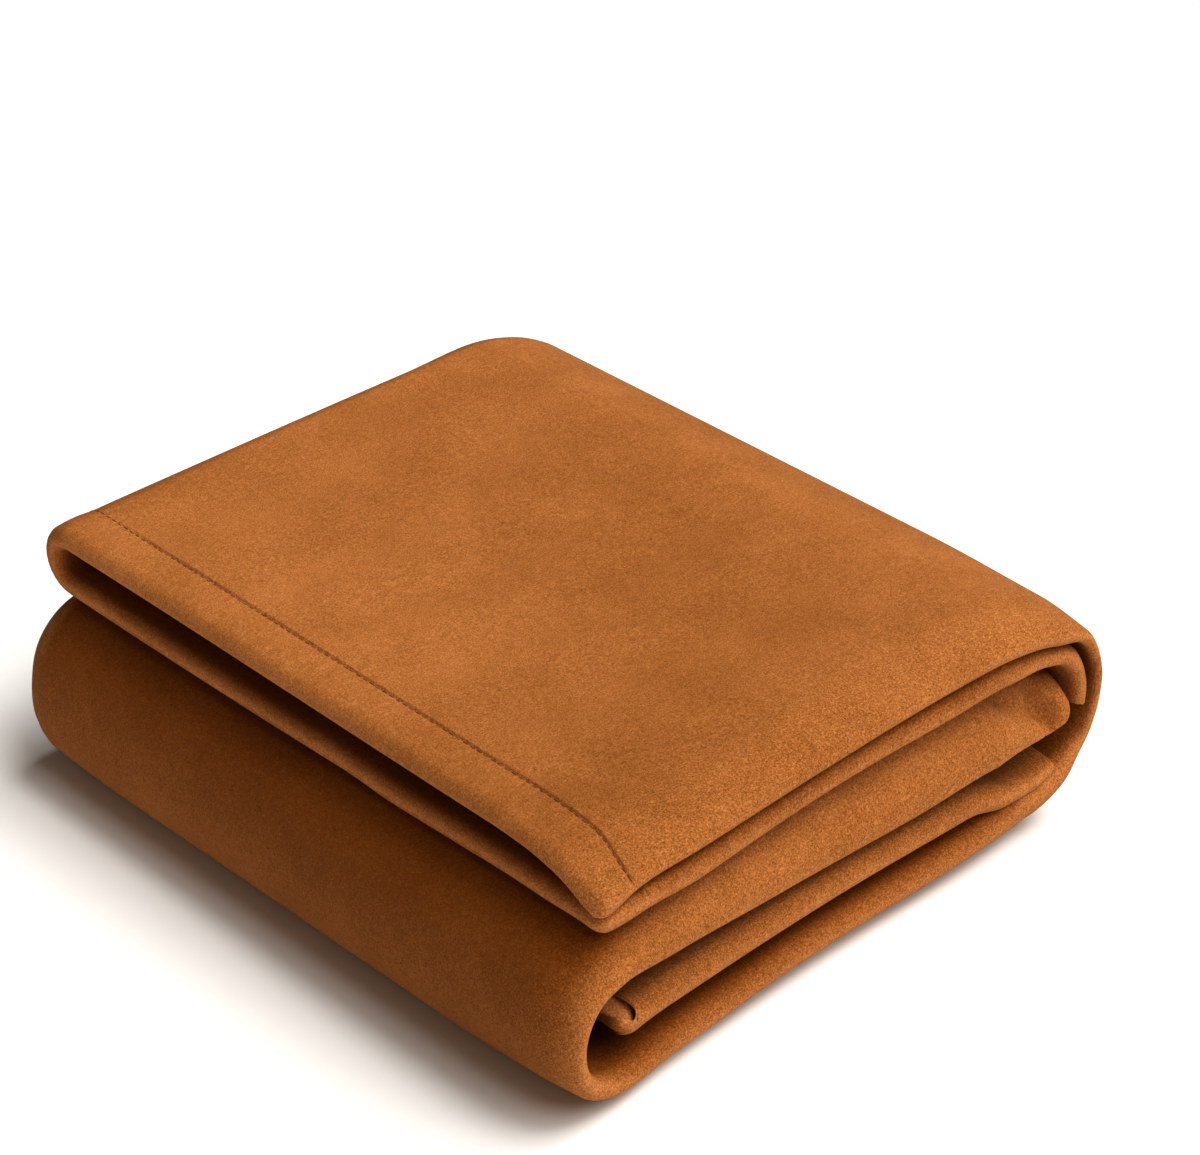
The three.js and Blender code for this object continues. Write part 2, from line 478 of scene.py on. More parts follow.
FOLDS = {
    "hem end": Fold(
        -150, 117.5, 18, rise=5, wide=8, sag=2.5, curl=14.5, reach=45, curl_in=6, set=3, back=3
    ),
    "hem seam": Fold(
        -124, 118.5, 16, rise=4.5, wide=7, sag=1, curl=10.5, reach=30, curl_in=8.5, puff_in=1, set=3
    ),
    "top left": Fold(
        -85, 118.8, 15.3, rise=4.3, wide=6.2, curl=11, curl_in=11.7, puff_in=1.8, set=1, back=1
    ),
    "top middle": Fold(0, 119, 14, rise=4, wide=5, curl=10, curl_in=11, puff_in=2, back=2),
    "top after middle": Fold(
        70, 119, 13, rise=3.5, wide=4, curl=8, curl_in=11.8, puff_in=2.5, back=2
    ),
    "top right": Fold(116, 119, 13, rise=3, wide=3, curl=9.5, curl_in=11.5, puff_in=1.8, back=2),
    "shoulder": Fold(147, 111, 12.5, rise=1, wide=2, curl=8, curl_in=6.8, back=2),
    "wrap upper": Fold(168, 97, 12, wide=1, curl=2, curl_in=2, puff=-2, back=2),
    "wrap side": Fold(177.3, 75, 11.5, curl=1, puff=-3, puff_in=-1, back=1.5),
    "hook end": Fold(176.6, 59, 11, curl=1, puff=-3, puff_in=-1, back=1),
    "inner edge tucked": Fold(175.5, 54, 12, curl=1, puff=-3, back=38),
    "wrap lower": Fold(170.8, 43, 12, curl=1, puff=-2.5, back=42),
    "inner edge let out": Fold(162.3, 31, 8, curl=3, puff=1, puff_in=-3.5, back=34),
    "wrap foot": Fold(155.5, 24.3, 9, wide=2, curl=3, puff=3.5, puff_in=-1.5, back=2.5),
    "floor lift": Fold(122, 8.2, 23.5, wide=2, curl=8, swell=6, puff=7.5, puff_in=1),
    "floor right": Fold(88, 5, 28.4, curl=6.5, swell=8, puff=4.5, swell_in=5, puff_in=4, back=1),
    "floor middle": Fold(-30, 5, 30.9, curl=6, swell=8, puff=4, swell_in=5, puff_in=4),
    "floor left": Fold(
        -105, 5, 31.9, curl=4, swell=8, puff=4, swell_in=5, puff_in=4, set=1
    ),
    "bend foot": Fold(
        -145, 9, 31, slip=-1, curl=2, swell=4, puff=2, puff_in=2, back=3, painted_shade=0.2
    ),
    "bend lower": Fold(-163, 23, 34.5, curl=3, curl_in=1, back=5, draw_z=-1, painted_shade=0.3),
    "bend side": Fold(
        -170, 47, 35, slip=2, curl=7, curl_in=2, back=8, draw_z=-5, painted_shade=0.45
    ),
    "bend upper": Fold(
        -163, 70, 31, slip=1, curl=12, curl_in=2, back=20, draw_z=-6, painted_shade=0.85
    ),
    "bend top": Fold(
        -145, 84, 28, slip=1, curl=18, curl_in=1, back=34, draw_z=-5, painted_shade=1
    ),
    "middle left": Fold(-105, 87, 29, curl=23.5, curl_in=2, back=32, painted_shade=0.3),
    "middle": Fold(-40, 86.3, 30, curl=28.8, curl_in=3, back=28),
    "middle after": Fold(50, 86, 28.5, curl=32.8, curl_in=3.5, back=28),
    "middle right": Fold(108, 85.5, 27, curl=31.8, curl_in=4, back=28),
    "knob": Fold(138, 77, 21, curl=22.3, curl_in=4, back=34),
    "middle end": Fold(160, 71, 17, curl=15, curl_in=4, back=40),
}


@dataclass(frozen=True)
class Shift:
    """A soft push on the cloth, in millimetres.

    It works in full from one fold to another and across a stretch of Y, and fades out beyond.
    """

    plies: tuple[Ply, ...]
    first: str
    last: str
    across: tuple[float, float]
    fade: tuple[float, float]
    by: tuple[float, float, float]


ALL_PLIES = (Ply.OUTER, Ply.TURN, Ply.INNER)

SHIFTS = {
    "fuller far shoulder": Shift(
        ALL_PLIES, "shoulder", "wrap upper", (-80, 200), (70, 90), (2.6, 0, 0.8)
    ),
    "slack lower lip of the opening": Shift(
        (Ply.INNER,), "hem end", "hem seam", (-145, -60), (60, 40), (0, 0, -2.2)
    ),
    "lower lip caught at the near corner": Shift(
        (Ply.INNER,), "hem end", "hem seam", (-200, -180), (30, 30), (0, 0, 0.6)
    ),
    "bowed bottom edge": Shift(
        (Ply.OUTER,), "bend foot", "bend lower", (-110, 120), (40, 80), (-1.8, 0, -1)
    ),
    "low far bend": Shift(ALL_PLIES, "bend upper", "bend top", (60, 200), (40, 120), (1.5, 0, -2)),
    "drawn-out hem corner": Shift(
        (Ply.OUTER,), "hem end", "hem end", (-200, -188), (20, 28), (-1.8, 0, -0.4)
    ),
    "low lip on the floor": Shift(
        (Ply.OUTER,), "floor left", "floor middle", (-200, -185), (60, 20), (0, 0, -1)
    ),
}


@dataclass(frozen=True)
class Crease:
    """A trough or ridge pressed into one face, in millimetres.

    It runs between two places, each given by a fold, a distance past it and a distance behind
    the near edge. A positive height is a ridge.
    """

    ply: Ply
    start: tuple[str, float, float]
    end: tuple[str, float, float]
    height: float
    half_width: float


CREASES = {
    "pinch beside the knob": Crease(
        Ply.OUTER, ("middle end", -13, 3), ("middle end", -18, 14), -6, 4
    ),
    "fold into the pinch": Crease(
        Ply.OUTER, ("middle end", -14, 6), ("middle end", -42, 17), -5, 4.5
    ),
    "round of the knob": Crease(Ply.OUTER, ("middle end", -4, 6), ("middle end", -6, 16), 2, 6),
    "pinch where both plies meet": Crease(
        Ply.OUTER, ("floor lift", -11, 2), ("floor lift", -7, 9), -1.2, 3
    ),
    "fullness in the nose": Crease(
        Ply.INNER, ("bend side", -10, 2), ("bend side", -10, 45), 3, 48
    ),
}


@dataclass(frozen=True)
class Patch:
    """A soft patch of the top, lighter or darker in tone; the one on the shoulder's ridge is a
    painted highlight.

    Its middle and its half sizes are in millimetres, and a positive tone is a lighter one.
    """

    x: float
    y: float
    half_x: float
    half_y: float
    tone: float


PATCHES = {
    "lighter beside the seam": Patch(-100, 50, 45, 85, 0.13),
    "darker near corner": Patch(-100, -150, 60, 40, -0.15),
    "painted highlight on the shoulder ridge": Patch(125, 20, 14, 170, 0.10),
    "darker middle": Patch(40, -20, 45, 50, -0.08),
    "darker towards the layers": Patch(25, -120, 35, 40, -0.09),
    "lighter far right": Patch(105, 95, 15, 20, 0.06),
    "lighter far left": Patch(-40, 125, 40, 35, 0.05),
    "lighter left of the middle": Patch(-30, -60, 25, 30, 0.06),
}


class Route:
    """The outer ply's middle line through the folds, by length along it, in millimetres."""

    samples_per_fold = 100

    def __init__(self, folds: dict[str, Fold]) -> None:
        """Draws one smooth curve through the folds and measures it.

        Args:
            folds: The folds in order.
        """
        self.folds = list(folds.values())
        points = np.array([(fold.x, fold.z) for fold in self.folds], float)
        first = 2 * points[0] - points[1]
        last = 2 * points[-1] - points[-2]
        padded = np.vstack([first, points, last])
        stretches = [
            self._stretch(padded[i : i + 4]) for i in range(len(self.folds) - 1)
        ]
        self.line = np.vstack([*stretches, points[-1:]])
        steps = np.linalg.norm(np.diff(self.line, axis=0), axis=1)
        self.lengths = np.concatenate([[0.0], np.cumsum(steps)])
        self.fold_at = self.lengths[:: self.samples_per_fold]
        self.total = float(self.lengths[-1])
        slope = np.gradient(self.line, self.lengths, axis=0)
        self.slope = slope / np.linalg.norm(slope, axis=1, keepdims=True)

    def _stretch(self, four: np.ndarray) -> np.ndarray:
        """Samples the curve between the middle two of four points.

        Args:
            four: Four neighbouring points.

        Returns:
            The samples, without the last end.
        """
        steps = np.linalg.norm(np.diff(four, axis=0), axis=1)
        knots = np.concatenate([[0.0], np.cumsum(np.sqrt(steps))])
        t = np.linspace(knots[1], knots[2], self.samples_per_fold, endpoint=False)[:, None]

        def blend(a: np.ndarray, b: np.ndarray, start: float, end: float) -> np.ndarray:
            """Goes from a at start to b at end."""
            return (a * (end - t) + b * (t - start)) / (end - start)

        one = [blend(four[i], four[i + 1], knots[i], knots[i + 1]) for i in range(3)]
        two = [blend(one[i], one[i + 1], knots[i], knots[i + 2]) for i in range(2)]
        return blend(two[0], two[1], knots[1], knots[2])

    def point(self, s: np.ndarray) -> np.ndarray:
        """X and Z at each length."""
        return self._along(self.line, s)

    def inward(self, s: np.ndarray) -> np.ndarray:
        """X and Z of the direction from the outer to the inner ply at each length."""
        slope = self._along(self.slope, s)
        slope /= np.linalg.norm(slope, axis=-1, keepdims=True)
        return np.stack([slope[..., 1], -slope[..., 0]], axis=-1)

    def _along(self, pairs: np.ndarray, s: np.ndarray) -> np.ndarray:
        """Values kept in pairs at each sample, read at each length."""
        return np.stack([np.interp(s, self.lengths, column) for column in pairs.T], axis=-1)

    def column(self, name: str, s: np.ndarray) -> np.ndarray:
        """One size of the folds at each length, on a smooth line that overshoots no fold."""
        sizes = np.array([getattr(fold, name) for fold in self.folds], float)
        steps = np.diff(self.fold_at)
        slopes = np.diff(sizes) / steps
        before, after = slopes[:-1], slopes[1:]
        same_way = before * after > 0
        mean = np.where(same_way, 2 * before * after / np.where(same_way, before + after, 1), 0)
        tangents = np.concatenate([[slopes[0]], mean, [slopes[-1]]])
        i = np.clip(np.searchsorted(self.fold_at, s, side="right") - 1, 0, len(steps) - 1)
        t = np.clip((s - self.fold_at[i]) / steps[i], 0, 1)
        rise = sizes[i] + (sizes[i + 1] - sizes[i]) * smooth(t)
        lean = tangents[i] * t * (1 - t) ** 2 - tangents[i + 1] * t**2 * (1 - t)
        return rise + lean * steps[i]

    def at(self, name: str) -> float:
        """Length along the route at a fold."""
        return float(self.fold_at[list(FOLDS).index(name)])


@dataclass(frozen=True)
class Surfaces:
    """Both faces of the cloth on one grid: rows along the strip, columns across it.

    Points are in metres, and the other sizes are in millimetres, but for the flat places.
    """

    points: dict[Face, np.ndarray]
    along: np.ndarray
    behind: np.ndarray
    from_rim: np.ndarray
    hem: np.ndarray
    seam: np.ndarray
    painted_shade: np.ndarray
    patches_and_painted_light: np.ndarray
    flat: np.ndarray


@dataclass
class ThrowCloth:
    """The padded cloth of the throw: one sheet, doubled and rolled up in three lengths.

    Sizes are in millimetres, and each mesh is placed in metres.
    """

    thickness: float = 10.5
    rim: float = 6
    near_side: float = -194
    far_side: float = 194
    stand_back: tuple[float, float, float] = (12, -155, 40)
    corner_radius: float = 7
    corner_share: float = 0.8
    margin: float = 34
    last_place: float = 36
    hem_width: float = 25
    hem_swell: float = 1.0
    hem_narrowing: float = 6.5
    hem_corner: float = 32
    hem_ease: float = 45
    groove: float = 1.2
    half_groove: float = 1.5
    groove_end: tuple[float, float] = (135, 45)
    groove_rim: float = 9
    groove_at_rim: float = 0.35
    curl_power: float = 2.2
    nose_ease: float = 20
    nose_lead: float = 15
    nose_fade: float = 20
    draw_reach: float = 42
    swell_margins: float = 2.2
    lip_highlight_width: float = 2.6
    streak_width: float = 50
    pucker_reach: float = 5
    painted_shade_edge: tuple[float, float] = (2, 14)
    lining_painted_shade: float = 1.0
    lining_edge: float = 9
    tucked_painted_shade: float = -0.17
    tucked_shade_edge: float = 6
    hem_fade: float = 2
    patch_fade: float = 20
    rim_steps: int = 8
    margin_steps: int = 14
    margin_power: float = 1.25
    ply_steps: int = 44
    turn_steps: int = 12
    stride_hem: float = 2.5
    stride_run: float = 8
    stride_turn: float = 0.09
    fine_stride: float = 2.6
    fine_runs: tuple[tuple[str, str], ...] = (
        ("wrap side", "floor lift"),
        ("floor left", "bend side"),
        ("middle right", "middle end"),
    )
    route: Route = field(default_factory=lambda: Route(FOLDS))

    def near_edge(self, s: np.ndarray, x: np.ndarray) -> np.ndarray:
        """Y of the outer ply's near edge.

        Args:
            s: Length along the route.
            x: X of the route there.

        Returns:
            The edge's Y, which stands back towards the right and at both ends.
        """
        by, from_x, to_x = self.stand_back
        run = np.clip((x - from_x) / (to_x - from_x), 0, 1)
        from_end = np.minimum(s, self.route.total - s)
        past = np.clip(self.corner_radius - from_end, 0, self.corner_radius)
        rounding = self.corner_radius - np.sqrt(self.corner_radius**2 - past**2)
        stand = by * np.sin(math.pi / 2 * run) + self.route.column("set", s)
        return self.near_side + stand + self.corner_share * rounding

    def edge_places(self) -> np.ndarray:
        """Distances behind an edge, close round the rim and wider behind it."""
        turn = np.linspace(0, math.pi / 2, self.rim_steps + 1)
        rim = self.rim * (1 - np.cos(turn))
        part = np.linspace(0, 1, self.margin_steps + 1)[1:]
        behind = self.rim + (self.last_place - self.rim) * part**self.margin_power
        return np.concatenate([rim, behind])

    def across_places(self) -> list[tuple[Ply, float, float]]:
        """Places across the doubled strip.

        Returns:
            For each place its ply, its distance behind the edge or its angle round the far
            turn, and its share of the run behind the margin.
        """
        edge = [(float(behind), 0.0) for behind in self.edge_places()]
        span = [(0.0, i / self.ply_steps) for i in range(1, self.ply_steps + 1)]
        outer = [(Ply.OUTER, *place) for place in edge + span]
        angles = [math.pi * i / self.turn_steps for i in range(1, self.turn_steps)]
        turn = [(Ply.TURN, angle, 0.0) for angle in angles]
        inner = [(Ply.INNER, *place) for place in reversed(edge + span)]
        return outer + turn + inner

    def along_places(self) -> np.ndarray:
        """Lengths along the strip, close at both ends, at the hem's seam and in the bends."""
        edge = self.edge_places()[: self.rim_steps + 3]
        side = np.array([0.2, 0.4, 0.65, 0.9, 1.2, 1.6, 2.4])
        seam = self.hem_width + self.half_groove * np.concatenate([-side[::-1], [0], side])
        hem = np.arange(edge[-1] + 2, seam[0] - 1, self.stride_hem)
        start = np.concatenate([edge, hem, seam])
        inward = self.route.inward
        free = np.arange(start[-1] + 1, self.route.total - edge[-1] - 2, 1.0)
        turns = np.arccos(np.clip(np.sum(inward(free) * inward(free - 1), axis=1), -1, 1))
        strides = np.full(free.shape, self.stride_run)
        for first, last in self.fine_runs:
            strides[(free > self.route.at(first)) & (free < self.route.at(last))] = self.fine_stride
        effort = np.floor(np.cumsum(1 / strides + turns / self.stride_turn))
        picked = free[np.flatnonzero(np.diff(effort, prepend=0) > 0)]
        return np.concatenate([start, picked, self.route.total - edge[::-1]])

    def offset(self, ply: Ply, s: np.ndarray, behind: np.ndarray, run: np.ndarray) -> np.ndarray:
        """How far the middle of a ply lies from the route, to the inner side.

        Args:
            ply: The outer or the inner ply.
            s: Length along the route.
            behind: Distance behind the ply's near edge.
            run: Distance from that edge to the far turn.

        Returns:
            The offset in millimetres.
        """
        get = self.route.column
        reach = self.margin + get("reach", s)
        curling = (1 - np.clip(behind / reach, 0, 1)) ** self.curl_power
        swelling = np.clip(behind / (self.swell_margins * self.margin), 0, 1)
        swelling = np.sin(math.pi * np.sqrt(swelling)) ** 2
        if ply is Ply.OUTER:
            return get("curl", s) * curling + get("swell", s) * swelling
        part = np.clip(behind / run, 0, 1)
        spread = get("gap", s) + get("wide", s) * smooth(part)
        spread = spread + get("sag", s) * np.sin(math.pi * part)
        return spread + get("curl_in", s) * curling + get("swell_in", s) * swelling

    def narrowed(self, s: np.ndarray, place: tuple[Ply, float, float]) -> np.ndarray:
        """Lengths along the strip, drawn towards the hem's end where its near corner is turned in.

        Args:
            s: Lengths along the flat strip.
            place: The place across the strip.

        Returns:
            The lengths along the route.
        """
        ply, where, part = place
        if ply is not Ply.OUTER or part:
            return s
        draw = self.hem_narrowing * (1 - smooth(where / self.hem_corner))
        rise = smooth(s / self.hem_width)
        fall = 1 - smooth((s - self.hem_width) / self.hem_ease)
        return s - draw * rise * fall

    def middle(
        self, s: np.ndarray, place: tuple[Ply, float, float]
    ) -> tuple[np.ndarray, np.ndarray]:
        """Middle of the cloth along the strip at one place across it.

        Args:
            s: Lengths along the strip.
            place: The place across the strip.

        Returns:
            The points, and how far each lies behind its ply's near edge.
        """
        ply, where, part = place
        get = self.route.column
        s = self.narrowed(s, place)
        foot = self.route.point(s)
        inward = self.route.inward(s)
        radius = (get("gap", s) + get("wide", s)) / 2
        turn_at = self.far_side - self.thickness / 2 - radius
        if ply is Ply.TURN:
            y = turn_at + radius * math.sin(where)
            off = radius * (1 - math.cos(where))
            behind = np.full_like(s, self.far_side)
        else:
            edge = self.near_edge(s, foot[:, 0])
            if ply is Ply.INNER:
                edge = edge + get("back", s)
            run = turn_at - edge
            behind = np.full_like(s, where)
            if part:
                behind = self.last_place + (run - self.last_place) * part
            y = edge + behind
            off = self.offset(ply, s, behind, run)
        far = smooth((y - self.near_side) / (self.far_side - self.near_side))
        x = foot[:, 0] + inward[:, 0] * off + get("slip", s) * far
        z = foot[:, 1] + inward[:, 1] * off + get("rise", s) * far
        if ply is Ply.INNER:
            z = z + get("draw_z", s) * (1 - smooth(behind / self.draw_reach))
        points = np.stack([x, y, z], axis=-1)
        if ply is Ply.INNER:
            points = self.eased(s, points)
        for shift in SHIFTS.values():
            if ply in shift.plies:
                points = points + self.push(shift, s, y)[:, None] * np.array(shift.by)
        return points, behind

    def eased(self, s: np.ndarray, points: np.ndarray) -> np.ndarray:
        """Rounds off the inner ply's tight nose inside the left bend.

        Args:
            s: Lengths along the strip.
            points: The ply's middle at them.

        Returns:
            The points, each one in the nose evened with its neighbours along the strip.
        """
        weights = np.exp(-(((s[:, None] - s) / self.nose_ease) ** 2)) * np.gradient(s)
        evened = weights @ points / weights.sum(axis=1, keepdims=True)
        first, last = self.route.at("bend foot"), self.route.at("bend top")
        share = smooth((s - first + self.nose_lead) / self.nose_fade)
        share = share * (1 - smooth((s - last) / self.nose_fade))
        return points + share[:, None] * (evened - points)

    def push(self, shift: Shift, s: np.ndarray, y: np.ndarray) -> np.ndarray:
        """How much of a shift each place takes, from 0 to 1."""
        first, last = self.route.at(shift.first), self.route.at(shift.last)
        past_run = np.maximum(np.maximum(first - s, s - last), 0)
        past_width = np.maximum(np.maximum(shift.across[0] - y, y - shift.across[1]), 0)
        return (1 - smooth(past_run / shift.fade[0])) * (1 - smooth(past_width / shift.fade[1]))

    def half_thickness(
        self, s: np.ndarray, ply: Ply, behind: np.ndarray, y: np.ndarray
    ) -> np.ndarray:
        """Half the cloth's thickness.

        Args:
            s: Lengths along the strip.
            ply: The ply that the places lie on.
            behind: Distances behind its near edge.
            y: The places' Y.

        Returns:
            Half thicknesses: round at every edge, puffed in the hem, drawn in at its seam.
        """
        puff = self.route.column("puff_in" if ply is Ply.INNER else "puff", s)
        from_end = np.minimum(s, self.route.total - s)
        half = self.thickness / 2 + puff * (1 - smooth(behind / self.margin))
        in_hem = np.clip(s / self.hem_width, 0, 1)
        half = half + self.hem_swell * np.sin(math.pi * in_hem)
        seam = np.clip(1 - np.abs(s - self.hem_width) / self.half_groove, 0, 1)
        faded = 1 - smooth((y - self.groove_end[0]) / self.groove_end[1])
        at_rim = self.groove_at_rim
        faded = faded * (at_rim + (1 - at_rim) * smooth(behind / self.groove_rim))
        half = half - self.groove * smooth(seam) * faded

        def rounding(distance: np.ndarray, rim: np.ndarray | float) -> np.ndarray:
            """Share of the thickness left at a distance from an edge with a round rim."""
            return np.sqrt(1 - (1 - np.minimum(distance / rim, 1)) ** 2)

        return half * rounding(behind, self.rim + puff) * rounding(from_end, self.rim)

    def creased(self, along: np.ndarray, behind: np.ndarray, plies: list[Ply]) -> np.ndarray:
        """Heights that the creases add to the outside face.

        Args:
            along: Each row's length along the strip.
            behind: Each grid point's distance behind its near edge.
            plies: Each column's ply.

        Returns:
            The heights on the grid.
        """
        height = np.zeros_like(behind)
        place = np.stack([np.broadcast_to(along[:, None], behind.shape), behind], axis=-1)
        for crease in CREASES.values():
            ends = [
                np.array([self.route.at(fold) + past, back])
                for fold, past, back in (crease.start, crease.end)
            ]
            line = ends[1] - ends[0]
            share = np.clip((place - ends[0]) @ line / (line @ line), 0, 1)
            distance = np.linalg.norm(place - ends[0] - share[..., None] * line, axis=-1)
            on_ply = np.array([ply is crease.ply for ply in plies])
            height += on_ply * crease.height * np.exp(-((distance / crease.half_width) ** 2))
        return height

    @cached_property
    def surfaces(self) -> Surfaces:
        """Both faces of the cloth, worked out once."""
        along = self.along_places()
        across = self.across_places()
        columns = [self.middle(along, place) for place in across]
        middle = np.stack([points for points, _ in columns], axis=1)
        behind = np.stack([distance for _, distance in columns], axis=1)
        half = np.stack(
            [
                self.half_thickness(along, place[0], behind[:, j], middle[:, j, 1])
                for j, place in enumerate(across)
            ],
            axis=1,
        )
        normal = np.cross(self._difference(middle, 0), self._difference(middle, 1))
        normal /= np.linalg.norm(normal, axis=-1, keepdims=True)
        outside = half + self.creased(along, behind, [place[0] for place in across])
        points = {}
        for face, height in ((Face.OUTSIDE, outside), (Face.INSIDE, half)):
            height[0] = height[-1] = 0
            height[:, 0] = height[:, -1] = 0
            place = middle + face.value * normal * height[..., None]
            place[..., :2] -= MIDDLE_OF_FOLDS
            place[..., 2] = np.maximum(place[..., 2], 0)
            points[face] = place * MM
        steps = np.linalg.norm(np.diff(middle, axis=1, prepend=middle[:, :1]), axis=2)
        width = np.broadcast_to(np.cumsum(steps, axis=1).mean(axis=0), behind.shape)
        length = np.broadcast_to(along[:, None], behind.shape)
        from_end = np.minimum(along, self.route.total - along)
        from_rim = np.minimum(behind, from_end[:, None])
        on_outer = np.array([place[0] is Ply.OUTER for place in across])
        hem = on_outer * (1 - smooth((length - self.hem_width + self.hem_fade) / self.hem_fade))
        seam = on_outer * np.exp(-(((length - self.hem_width) / self.pucker_reach) ** 2))
        # Painted shade on the outer face, as much as each fold gives, fading in from the near edge.
        painted_shade = on_outer * self.route.column("painted_shade", along)[:, None]
        painted_shade = painted_shade * smooth((behind - self.painted_shade_edge[0]) / self.painted_shade_edge[1])
        flat = np.stack([width, length], axis=-1) * MM
        # Patches of tone on the top's outside face, with a painted highlight on the shoulder's
        # ridge, fading out past the shoulder.
        past_top = (along - self.route.at("shoulder")) / self.patch_fade
        patches_and_painted_light = on_outer * self.patches_and_painted_light(points[Face.OUTSIDE] / MM)
        patches_and_painted_light = patches_and_painted_light * (1 - smooth(past_top))[:, None]
        # Painted shade on the inner ply and the far turn: darker colour behind their near edge,
        # where they lie tucked under the layers above.
        patches_and_painted_light = patches_and_painted_light + (1 - on_outer) * self.tucked_painted_shade * smooth(behind / self.tucked_shade_edge)
        return Surfaces(points, along, behind, from_rim, hem, seam, painted_shade, patches_and_painted_light, flat)

    @staticmethod
    def patches_and_painted_light(points: np.ndarray) -> np.ndarray:
        """Tones that the patches add at each point of the top, the painted highlight on the
        shoulder among them.
        """
        tone = np.zeros(points.shape[:-1])
        for patch in PATCHES.values():
            aside = (points[..., 0] - patch.x) / patch.half_x
            past = (points[..., 1] - patch.y) / patch.half_y
            tone += patch.tone * np.exp(-(aside**2) - past**2)
        return tone

    @staticmethod
    def _difference(points: np.ndarray, axis: int) -> np.ndarray:
        """Difference of each point's two neighbours along one axis of the grid."""
        padded = np.concatenate(
            [points.take([0], axis), points, points.take([-1], axis)], axis
        )
        count = points.shape[axis]
        return padded.take(range(2, count + 2), axis) - padded.take(range(count), axis)

    def build(self, material: bpy.types.Material) -> bpy.types.Object:
        """Makes the cloth's mesh from two grids, one for each face, joined along their borders.

        Args:
            material: The suede.

        Returns:
            The cloth object.
        """
        rows, columns = self.surfaces.behind.shape
        sheet = bmesh.new()
        for face in Face:
            made = bmesh.ops.create_grid(
                sheet, x_segments=rows - 1, y_segments=columns - 1, size=0.5
            )["verts"]
            if face is Face.INSIDE:
                bmesh.ops.reverse_faces(sheet, faces=list({f for v in made for f in v.link_faces}))
        mesh = bpy.data.meshes.new("throw_cloth")
        sheet.to_mesh(mesh)
        self._place(mesh)
        sheet.clear()
        sheet.from_mesh(mesh)
        border = [vert for vert in sheet.verts if vert.is_boundary]
        bmesh.ops.remove_doubles(sheet, verts=border, dist=1e-6)
        sheet.to_mesh(mesh)
        sheet.free()
        mesh.shade_smooth()
        mesh.materials.append(material)
        return add_object("throw_cloth", mesh)

    def _place(self, mesh: bpy.types.Mesh) -> None:
        """Moves the flat grids' points on to the cloth's faces and notes what materials read.

        Args:
            mesh: Both grids, the outside face's first.
        """
        surfaces = self.surfaces
        rows, columns = surfaces.behind.shape
        count = len(mesh.vertices)
        grid = np.empty(count * 3)
        mesh.vertices.foreach_get("co", grid)
        grid = grid.reshape(-1, 3) + 0.5
        i = np.rint(grid[:, 0] * (rows - 1)).astype(int)
        j = np.rint(grid[:, 1] * (columns - 1)).astype(int)
        is_outside = np.arange(count)[:, None] < count / 2
        outside, inside = [surfaces.points[face][i, j] for face in Face]
        mesh.vertices.foreach_set("co", np.where(is_outside, outside, inside).ravel())
        shares = {
            # The rim of each lip, where a painted highlight lightens the edge line.
            "lip": 1 - smooth(surfaces.from_rim / self.lip_highlight_width),
            "margin": 1 - smooth(surfaces.behind / self.streak_width),
            "hem": surfaces.hem,
            "seam": surfaces.seam,
        }
        for name, share in shares.items():
            mesh.attributes.new(name, "FLOAT", "POINT").data.foreach_set("value", share[i, j])
        # Painted shade on the inside face, deepening away from every rim into the hollows between
        # the plies.
        lining = smooth(surfaces.from_rim / self.lining_edge)
        painted_shade = np.where(is_outside[:, 0], surfaces.painted_shade[i, j], self.lining_painted_shade * lining[i, j])
        mesh.attributes.new("painted_shade", "FLOAT", "POINT").data.foreach_set("value", painted_shade)
        patches_and_painted_light = np.where(is_outside[:, 0], surfaces.patches_and_painted_light[i, j], 0)
        mesh.attributes.new("patches_and_painted_light", "FLOAT", "POINT").data.foreach_set("value", patches_and_painted_light)
        corners = np.empty(len(mesh.loops), dtype=np.int32)
        mesh.loops.foreach_get("vertex_index", corners)
        flat = mesh.uv_layers.new(name="flat")
        flat.data.foreach_set("uv", surfaces.flat[i, j][corners].ravel())


